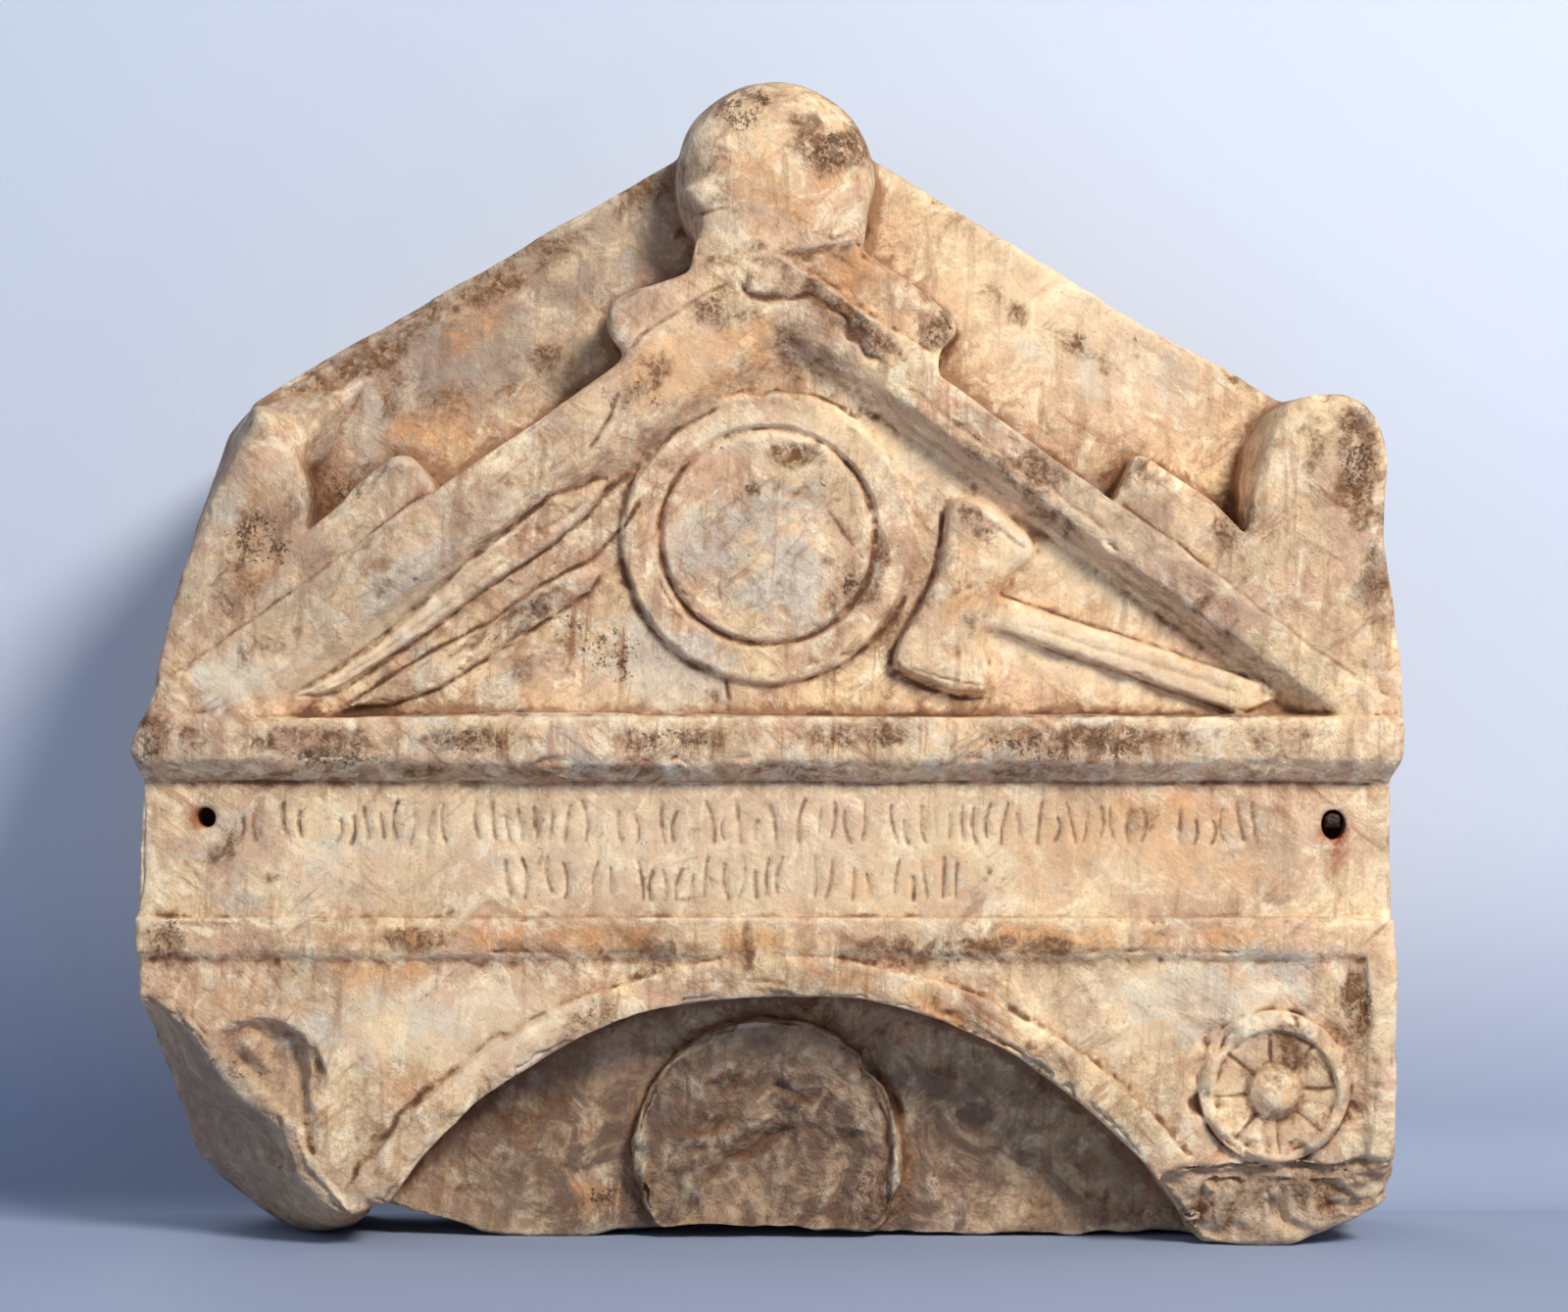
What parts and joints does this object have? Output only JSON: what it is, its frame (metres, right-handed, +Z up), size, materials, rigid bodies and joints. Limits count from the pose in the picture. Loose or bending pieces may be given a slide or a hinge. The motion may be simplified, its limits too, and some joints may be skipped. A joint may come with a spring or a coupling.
{
  "type": "carved stone stele",
  "caption": "Gabled top of a marble grave stele with plain acroteria, a carved field, a frieze and an arched niche, broken off below, with a rusted iron pin stub.",
  "frame": {"origin": "on the standing plane, under the middle of the block", "axes": "+X to the right as one faces the carving, +Y from the carved front to the back, +Z up"},
  "size_m": [0.614, 0.146, 0.567],
  "materials": {
    "marble": "worn, stained, matt",
    "iron": "corroded"
  },
  "bodies": {
    "root": {"stele": "marble", "iron_pin": "iron"}
  },
  "joints": []
}
